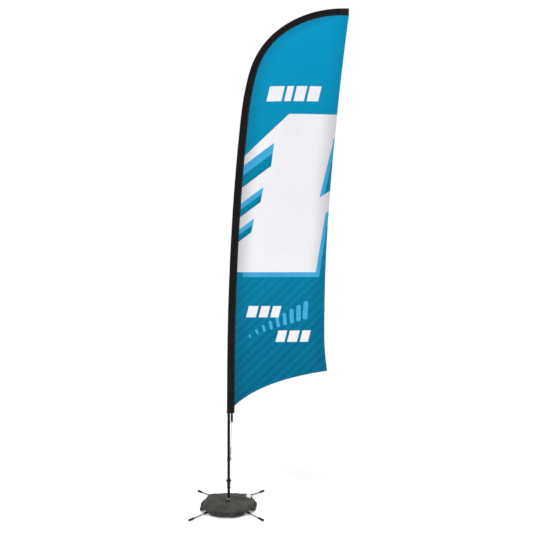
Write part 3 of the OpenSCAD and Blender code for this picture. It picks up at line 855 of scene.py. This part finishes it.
def sleeve_wrinkle(s, n, y, w):
    """how far the cloth stands off: creases at the lower end, gathers round the bend"""
    k = max(0.0, min(1.0, n/w))
    sgn = 1.0 if y > 0 else -1.0
    d = 0.0010*noise.noise(Vector((s*5.0, n*22, sgn*2.0)))
    d += 0.0007*noise.noise(Vector((s*17.0, n*50, sgn*3.0 + 5)))
    bend = max(0.0, min(1.0, (s - 3.25)/0.25))*max(0.0, min(1.0, (4.42 - s)/0.15))
    ripple = math.sin(s*tau/0.043 + 2.2*noise.noise(Vector((s*4.0, sgn, 0.0))) + n*18)
    d += 0.0013*bend*ripple*max(0.0, k - 0.12)*(1 - k)*3.2
    low = math.exp(-((s - SLEEVE_A)/0.10)**2)
    d += 0.0009*low*math.sin(s*tau/0.031 + sgn)*(1 - k)
    return d*min(1.0, (1 - k)*6)


def build_sleeve():
    ss = [*np.arange(SLEEVE_A, 3.0, 0.011), *np.arange(3.0, SLEEVE_B - 0.004, 0.007), SLEEVE_B - 0.002]
    verts = []
    for s in map(float, ss):
        sec = sleeve_section(s)
        m = len(sec)
        for i, (n, y) in enumerate(sec):
            a, b = sec[i - 1], sec[(i + 1) % m]
            nx, ny = b[1] - a[1], a[0] - b[0]
            l = math.hypot(nx, ny)
            nx, ny = nx/l, ny/l
            if n*nx + y*ny < 0 and n < 0.01:
                nx, ny = -nx, -ny
            d = sleeve_wrinkle(s, n, y, flap(s))
            verts.append(beside(s, n + nx*d, y + (1 if y > 0 else -1)*abs(ny)*d))
    rows = len(ss)
    faces = skin(rows, m)
    # turned-in lower hem: inner wall 70 mm up, then closed round the pole
    prev = range(m)
    for up, g in ((-0.0006, -0.0007), (0.001, -0.0014), (0.03, -0.0014), (0.07, -0.0014)):
        sc = 1 + g/lookup(SLEEVE_R, SLEEVE_A)
        cur = range(len(verts), len(verts) + m)
        for n, y in sleeve_section(SLEEVE_A):
            n = n*sc if n < 0.03 else n + g*1.2
            verts.append(beside(SLEEVE_A + up, n, y*sc if abs(y) > 0.003 else y*0.35))
        faces += join_rows(cur, prev)
        prev = cur
    faces += [tuple(prev[::-1]), tuple(range((rows - 1)*m, rows*m))]
    return sharp(outward(make("sleeve", verts, faces, [SLEEVE], "mast")), 70)


sleeve = build_sleeve()
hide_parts("pole_sleeve")


PATCH_THICK = 0.0009


def build_pocket():
    """the reinforced end: a patch of tape folded over the sleeve's tip"""
    ss = [SLEEVE_B + float(d) for d in (-0.064, -0.0625, *np.linspace(-0.057, -0.003, 12), 0.0012, 0.0035)]
    grow = [0.0002] + [PATCH_THICK]*(len(ss) - 2) + [-0.0006]
    verts = []
    for s, g in zip(ss, grow):
        sec = sleeve_section(min(s, SLEEVE_B), g)
        verts += [beside(s, n, y) for n, y in sec]
    faces = skin(len(ss), len(sec)) + ends(len(ss), len(sec))
    return sharp(outward(make("sleeve_tip_patch", verts, faces, [TAPE], "mast")), 50)


pocket = build_pocket()
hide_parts("tip_pocket")


def along_sleeve(inset, side):
    """points along the seam, on one ply"""
    out = []
    s = SLEEVE_A + 0.004
    while s <= SLEEVE_B - 0.066:
        ply = sleeve_section(s)[:PLY_POINTS]
        n = flap(s) - inset
        y = float(np.interp(-n, [-p[0] for p in ply], [p[1] for p in ply]))
        out.append(beside(s, n, side*(y + sleeve_wrinkle(s, n, side, flap(s))*0.9)))
        s += 0.01
    return out


def half_round(s, grow, side):
    """points round one half of the sleeve"""
    return [beside(s, n, y) for n, y in sleeve_section(s, grow) if y*side > 0]


rows = [(along_sleeve(inset, side), across(side)) for side in (-1, 1) for inset in (0.0026, 0.0078)]
# the lower hem's two rows round the sleeve
rows += [(half_round(SLEEVE_A + up, 0.0002, side), across(side, 0.4))
         for up in (0.006, 0.026) for side in (-1, 1)]
stitches("sleeve_seam_stitches", rows, THREAD_BLACK, "mast")
rows = [(half_round(SLEEVE_B - down, PATCH_THICK, side), across(side))
        for side in (-1, 1) for down in (0.0595, 0.0055)]
stitches("sleeve_tip_stitches", rows, THREAD_GREY, "mast")

# ---- lower mast tube
low_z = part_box("pole_section_1")[0].z
TUBE_R = 0.0110
ss = [low_z, low_z + 0.0008, *(float(s) for s in np.arange(low_z + 0.02, 1.23, 0.03)), 1.24]
radii = [TUBE_R - 0.0005] + [TUBE_R]*(len(ss) - 1)
pole = tube("mast_lower_tube", [beside(s, 0) for s in ss], radii, POLE, "mast", 48)
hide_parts("pole_section_1")


# ---- tension loop
def cord_loop():
    """round the strap's ring above and the peg below, with two strands drawn in between them"""
    top, low, r = Vector((0.0225, 0, 0.6529)), Vector((0.0152, 0, 0.370)), 0.0047
    run = low - top
    down = run.normalized()
    pts = []
    for end, side in ((top, 1), (low, -1)):
        for i in range(13):
            a = pi*i/12
            pts.append(end + Vector((0, side*r*math.cos(a), 0)) - down*(side*r*math.sin(a)))
        for i in range(1, 30):
            f = i/30 if end is top else 1 - i/30
            pts.append(top + down*(run.length*f) + Vector((0, side*(0.0011*math.sin(pi*f) - r), 0)))
    return pts


loop = cord_loop()
bungee = tube("elastic_loop", loop, [0.0015]*len(loop), BRAID, "mast", 14, closed=True)
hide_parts("tension_cord")
# moulded clamp that gathers the loop's two strands above the peg
clamp_end = [(0, 0.0300), (0.0034, 0.0300), (0.0044, 0.0286), (0.0052, 0.0200), (0.0052, 0.0190),
             (0.0047, 0.0180)]
lathe("elastic_clamp", [(r, -z) for r, z in clamp_end] + clamp_end[::-1], CLAMP, "mast",
      lambda v: Vector((0.0171 + v.z*0.026 + v.x*0.78, v.y*1.45, 0.436 + v.z)), 32)


# ---- leg details
LEG_IN, LEG_OUT, LEG_HIGH, LEG_LOW, SOCKET_OUT = 0.040, 0.395, 0.0205, 0.008, 0.246
SLOPE = math.atan((LEG_HIGH - LEG_LOW)/(LEG_OUT - LEG_IN))


def leg_place(turn):
    """from a leg's own frame, with z out along its rod, to the object's"""
    out = Vector((math.cos(turn)*math.cos(SLOPE), math.sin(turn)*math.cos(SLOPE), -math.sin(SLOPE)))
    side = Vector((-math.sin(turn), math.cos(turn), 0))
    up = side.cross(out)*-1
    start = Vector((LEG_IN*math.cos(turn), LEG_IN*math.sin(turn), LEG_HIGH))
    return lambda v: start + out*v.z + side*v.x + up*v.y


def foot_profile(a, b):
    """a ribbed rubber boot from a to b along the rod"""
    prof = [(0.0051, a + 0.002), (0.0051, a - 0.0002), (0.0068, a - 0.0006), (0.0084, a),
            (0.0086, a + 0.0012), (0.0086, a + 0.0036), (0.0080, a + 0.0046)]
    for k in range(5):
        z = a + 0.0085 + k*0.0044
        prof += [(0.0080, z), (0.0075, z + 0.0005), (0.0075, z + 0.0014), (0.0080, z + 0.0019)]
    return prof + [(0.0080, b - 0.0030), (0.00785, b - 0.0014), (0.0071, b - 0.0003), (0.0060, b),
                   (0.0030, b - 0.0002), (0, b - 0.0004)]


def plug_profile(e):
    """the moulded plug that finishes a socket's outer end at e"""
    return [(0.0052, e - 0.004), (0.0052, e + 0.0040), (0.0066, e + 0.0040), (0.0078, e + 0.0026),
            (0.0080, e - 0.0005), (0.0080, e - 0.009), (0.00755, e - 0.0096), (0.0052, e - 0.0096)]


leg_end = (LEG_OUT - LEG_IN)/math.cos(SLOPE)
socket_end = (SOCKET_OUT - LEG_IN)/math.cos(SLOPE)
for corner, deg, body in (("front_left", 225, "base"), ("rear_right", 45, "base"),
                          ("front_right", 315, "folding_arm"), ("rear_left", 135, "folding_arm")):
    place = leg_place(math.radians(deg))
    tip = lathe("foot_" + corner, foot_profile(leg_end - 0.048, leg_end), RUBBER, body, place, 48)
    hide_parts("leg_tip_" + corner)
    plug = plug_profile(socket_end)
    lathe("socket_collar_" + corner, plug, BLACK_PLASTIC, body, place, 40)

# ---- filler cap
CAP_TILT, CAP_TURN = math.radians(20), math.radians(14)
cap_axis = Vector((math.sin(CAP_TILT)*math.cos(CAP_TURN), math.sin(CAP_TILT)*math.sin(CAP_TURN),
                   math.cos(CAP_TILT)))
cap_u = Vector((-math.sin(CAP_TURN), math.cos(CAP_TURN), 0))
cap_v = cap_axis.cross(cap_u)
CAP_AT = Vector((0.160*math.cos(CAP_TURN), 0.160*math.sin(CAP_TURN), 0.052))


def cap_place(v):
    return CAP_AT + cap_u*v.x + cap_v*v.y + cap_axis*v.z


def ribs(a, i):
    """thirty-six grooves in the skirt, which is points 5 to 8 of the profile"""
    return -0.0007*(0.5 + 0.5*math.cos(a*36))**2 if 5 <= i <= 8 else 0.0


cap = lathe("filler_cap_ribbed",
            [(0.0, 0.0176), (0.01604, 0.0176), (0.01604, 0.0008), (0.0166, 0.0), (0.0192, 0.0),
             (0.0200, 0.0010), (0.0200, 0.0030), (0.0200, 0.0150), (0.0200, 0.0165), (0.0194, 0.0188),
             (0.0180, 0.0198), (0.0150, 0.0200), (0.0144, 0.0196), (0.0138, 0.0192), (0.0, 0.0192)],
            WHITE_PLASTIC, "cap", cap_place, 144, ribs, 50)
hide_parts("filler_cap")

# ---- water ring
HOLE_R, RIM_R = 0.0235, 0.2445
ROUND, STEPS = 224, 28   # points round the ring, and rows from the hole to the rim
CROWN = 0.76


def rim_r(a):
    """the cut edge of the bladder: nearly round, with two slack tongues either side"""
    ear = sum(math.exp(-(((a - c + pi) % tau - pi)/0.15)**2) for c in (math.radians(206), math.radians(334)))
    return RIM_R - 0.008 - 0.010*math.sin(a) + 0.009*ear + 0.0016*math.sin(5*a + 0.7) + 0.0012*math.sin(13*a)


def ring_mesh():
    """two flat annular sheets welded round the outside and the hole"""
    rnd = random.Random(7)
    verts = []
    for j, swell in [(j, 0.010) for j in range(STEPS + 1)] + [(j, -0.004) for j in range(STEPS - 1, 0, -1)]:
        for k in range(ROUND):
            a = tau*k/ROUND
            r = HOLE_R + (rim_r(a) - HOLE_R)*j/STEPS
            z = 0.041 + swell*math.sin(pi*j/STEPS) + rnd.uniform(-0.0005, 0.0005)
            verts.append((r*math.cos(a), r*math.sin(a), z))
    return plain("water_ring", verts, skin(2*STEPS, ROUND, True))


def collider(verts, faces, thick):
    """a stand-in that the cloth rests on while it is simulated, removed afterwards"""
    o = plain("proxy", verts, faces)
    o.modifiers.new("c", "COLLISION")
    o.collision.thickness_outer = thick
    o.collision.thickness_inner = 0.01
    o.collision.cloth_friction = 8
    return o


def leg_proxy(deg):
    place = leg_place(math.radians(deg))
    zs = (0.0, 0.05, 0.11, 0.17, 0.223, 0.29)
    turns = [tau*k/12 for k in range(12)]
    verts = [place(Vector((0.0075*math.cos(a), 0.0075*math.sin(a), z))) for z in zs for a in turns]
    return collider(verts, skin(len(zs), 12) + ends(len(zs), 12), 0.0015)


def proxies():
    """what the ring lies on: the floor, the four legs and the hub"""
    corners = [(-1, -1, 0.004), (1, -1, 0.004), (1, 1, 0.004), (-1, 1, 0.004)]
    disc = [(0.078*math.cos(tau*k/24), 0.078*math.sin(tau*k/24), z) for z in (0.0, 0.0340) for k in range(24)]
    return [collider(corners, [(0, 1, 2, 3)], 0.0015), *(leg_proxy(d) for d in (45, 135, 225, 315)),
            collider(disc, ends(2, 24) + skin(2, 24), 0.001)]


CLOTH = {"quality": 7, "mass": 0.01, "air_damping": 3, "tension_stiffness": 28, "compression_stiffness": 28,
         "shear_stiffness": 12, "bending_stiffness": 0.2, "tension_damping": 12, "compression_damping": 12,
         "shear_damping": 12, "bending_damping": 2, "vertex_group_mass": "pin", "use_pressure": True,
         "uniform_pressure_force": 1.9}


def inflate(o):
    """the cloth simulation, held at the hole; returns where the points end up"""
    o.vertex_groups.new(name="pin").add(list(range(ROUND)), 1.0, "REPLACE")
    helpers = proxies()
    mod = o.modifiers.new("cloth", "CLOTH")
    for k, v in CLOTH.items():
        setattr(mod.settings, k, v)
    mod.settings.effector_weights.gravity = 0.3
    mod.collision_settings.collision_quality = 3
    mod.collision_settings.distance_min = 0.0015
    mod.collision_settings.use_self_collision = False
    mod.point_cache.frame_start = scene.frame_start = 1
    mod.point_cache.frame_end = scene.frame_end = 60
    for f in range(1, 46):
        scene.frame_set(f)
    got = o.evaluated_get(bpy.context.evaluated_depsgraph_get())
    co = np.zeros(len(o.data.vertices)*3, np.float32)
    got.data.vertices.foreach_get("co", co)
    o.modifiers.remove(mod)
    for h in helpers:
        bpy.data.objects.remove(h)
    scene.frame_set(1)
    return co.reshape(-1, 3).astype(float)


def pucker(co, ang, rows):
    """where the two sheets are welded, strongest at the rim, on both the crown side and the wall"""
    for j in (*range(STEPS - 7, STEPS), *range(STEPS + 1, STEPS + 8)):
        fade = math.exp(-((abs(j - STEPS) - 2.2)/2.6)**2)
        for i in rows[j]:
            x, y = math.cos(ang[i]), math.sin(ang[i])
            wob = noise.noise(Vector((x*5, y*5, 2.0)))*5
            amp = 0.0021*fade*(0.6 + 0.6*noise.noise(Vector((x*3, y*3, 7.0))))
            co[i, 2] += amp*math.sin(ang[i]*58 + wob)*(1 if j < STEPS else -0.8)


def ease(t):
    return t*t*(3 - 2*t)


def build_ring():
    """the simulated ring, shaped a little further; also its rim and hole before it is made finer"""
    o = ring_mesh()
    co = inflate(o)
    rows = np.arange(len(co)).reshape(2*STEPS, ROUND)
    ang, r = np.arctan2(co[:, 1], co[:, 0]), np.hypot(co[:, 0], co[:, 1])
    pucker(co, ang, rows)
    # the pressure may turn the two sheets over, so the upper one is the one that came out on top
    over = co[rows[STEPS//2], 2].mean() > co[rows[2*STEPS - STEPS//2], 2].mean()
    top = (np.arange(len(co)) < (STEPS + 1)*ROUND) == over
    top[rows[0]] = top[rows[STEPS]] = True
    # half full: the upper sheet lies lower over the legs and the hub
    for j in range(1, STEPS):
        up, down = (rows[j], rows[2*STEPS - j]) if over else (rows[2*STEPS - j], rows[j])
        low = CROWN - 0.17*np.maximum(0, np.sin(ang[up]))*np.clip((j - 6)/6, 0, 1)
        co[up, 2] = co[down, 2] + (co[up, 2] - co[down, 2])*low
    # clear of the legs the wall drops steeply to a rim that hangs near the floor
    off_leg = np.clip((r*np.sin(np.abs(np.mod(ang, pi/2) - pi/4)) - 0.020)/0.035, 0, 1)
    for j in range(22, 2*STEPS - 21):
        ids = rows[j]
        t = (min(j, 2*STEPS - j) - 21)/(STEPS - 21)
        co[ids, 2] -= 0.85*ease(t)*off_leg[ids]*np.maximum(0, co[ids, 2] - 0.007)
    spread = 1 + 0.012*np.maximum(0, -np.sin(ang))*np.clip(r/0.2, 0, 1)
    co[:, :2] *= spread[:, None]
    r = r*spread
    # the cloth is welded to the filler flange, so it rises to it
    seat, ax = np.array(cap_place(Vector((0, 0, -0.0047)))), np.array(cap_axis)
    rel = co - seat
    rho = np.sqrt(np.maximum(0, (rel**2).sum(1) - (rel @ ax)**2))
    plane = seat[2] - (ax[0]*rel[:, 0] + ax[1]*rel[:, 1])/ax[2]
    w = ease(np.clip((0.062 - rho)/(0.062 - 0.024), 0, 1))*top
    co[:, 2] = co[:, 2]*(1 - w) + plane*w
    co[:, :2] *= (np.minimum(r, 0.2345)/np.maximum(r, 1e-9))[:, None]
    co[:, 2] = np.clip(co[:, 2], 0.0055, 0.0690)
    o.data.vertices.foreach_set("co", co.astype(np.float32).reshape(-1))
    outward(finished(o, [BAG]))
    sub = o.modifiers.new("sub", "SUBSURF")
    sub.levels = sub.render_levels = 1
    bpy.context.view_layer.objects.active = o
    o.select_set(True)
    bpy.ops.object.modifier_apply(modifier="sub")
    o.select_set(False)
    return o, [Vector(co[i]) for i in rows[STEPS]], [Vector(co[i]) for i in rows[0]]


bag, rim, hole = build_ring()
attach(bag, "base")
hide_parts("water_bag")


def welt(name, loop, width, thick, sign):
    """the flat welded edge along the rim or the hole, and the two lines where its upper face is sewn"""
    n = len(loop)
    half = [(-0.003, 0.6), (0.0, 1), (width*0.6, 1), (width, 0.6)]
    section = [(d, -h) for d, h in half] + [(width + 0.0003, 0)] + half[::-1]
    verts = []
    for i, p in enumerate(loop):
        t = (loop[(i + 1) % n] - loop[i - 1]).normalized()
        out = t.cross(Vector((0, 0, 1))).normalized()
        if out.dot(Vector((p.x, p.y, 0))) < 0:
            out = -out
        out = (out*sign + Vector((0, 0, 0.35*noise.noise(Vector((p.x*22, p.y*22, 3)))))).normalized()
        up = out.cross(t).normalized()
        if up.z < 0:
            up = -up
        verts += [p + out*d + up*(h*thick) for d, h in section]
    m = len(section)
    o = outward(make(name, verts, skin(n, m, True), [BAG], "base"))
    return o, [verts[d::m] + [verts[d]] for d in (6, 7)]


rim_welt, sewn = welt("water_ring_edge", rim, 0.0080, 0.0011, 1)
hole_welt, _ = welt("water_ring_hole_edge", hole, 0.0025, 0.0012, -1)
rows = [(line, lambda p: (0, 0, 1)) for line in sewn]
edge_stitches = stitches("water_ring_stitches", rows, THREAD_GREY, "base", 0.0052, 0.0036, 0.00045)
for o in (bag, rim_welt, hole_welt, edge_stitches):
    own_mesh(o)

# ---- floor and light
bpy.ops.mesh.primitive_circle_add(vertices=96, radius=40, fill_type="NGON", location=(0, 0, -0.0006))
floor = bpy.context.object
floor.name = "floor"
fm = Mat("floor_white", (0.98, 0.98, 0.98, 1), 0.85, Specular_IOR_Level=0.1, Emission_Color=(1, 1, 1, 1))
# a small glow keeps the shadow by the base soft; away from it the floor is seen just white,
# so thin tubes stay crisp
GLOW, FAR_GLOW = 0.22, 0.02
squares = fm.math("ADD", fm.math("POWER", fm.axis("X"), 2.0), fm.math("POWER", fm.axis("Y"), 2.0))
away = fm.math("SQRT", squares)
seen = fm.times(fm.node("ShaderNodeLightPath").outputs["Is Camera Ray"], fm.smooth(away, 0.42, 0.95))
fm.put(fm.b.inputs["Emission Strength"], fm.math("SUBTRACT", GLOW, fm.times(seen, GLOW - FAR_GLOW)))
floor.data.materials.append(fm.m)

# the camera sees a white sweep; the cloth is lit by a softer sky, a broad front key and a low back light
world = bpy.data.worlds.new("studio")
scene.world = world
world.use_nodes = True
wt = world.node_tree
sky = wt.nodes["Background"]
sky.inputs[0].default_value = (1, 1, 1, 1)
sky.inputs[1].default_value = 0.42
white = wt.nodes.new("ShaderNodeBackground")
white.inputs[0].default_value = (1, 1, 1, 1)
white.inputs[1].default_value = 1.02
ray = wt.nodes.new("ShaderNodeLightPath")
pick = wt.nodes.new("ShaderNodeMixShader")
wt.links.new(ray.outputs["Is Camera Ray"], pick.inputs[0])
wt.links.new(sky.outputs[0], pick.inputs[1])
wt.links.new(white.outputs[0], pick.inputs[2])
wt.links.new(pick.outputs[0], wt.nodes["World Output"].inputs[0])


def lamp(name, kind, energy, way, at=(0, 0, 0), **shape):
    """a light that shines along way"""
    d = bpy.data.lights.new(name, kind)
    d.energy = energy
    for k, v in shape.items():
        setattr(d, k, v)
    o = bpy.data.objects.new(name, d)
    o.location = at
    o.rotation_euler = Vector(way).to_track_quat("-Z", "Y").to_euler()
    scene.collection.objects.link(o)


lamp("overhead", "SUN", 1.75, (0.12, 0.22, -1.0), angle=math.radians(45))
lamp("front", "SUN", 0.85, (0.30, 1.0, -0.42), angle=math.radians(28))
lamp("back", "AREA", 45, (-1.2, -4.5, -2.2), (1.5, 4.5, 4.2), shape="RECTANGLE", size=3.0, size_y=2.0)
scene.view_settings.view_transform = "Standard"
scene.view_settings.look = "None"
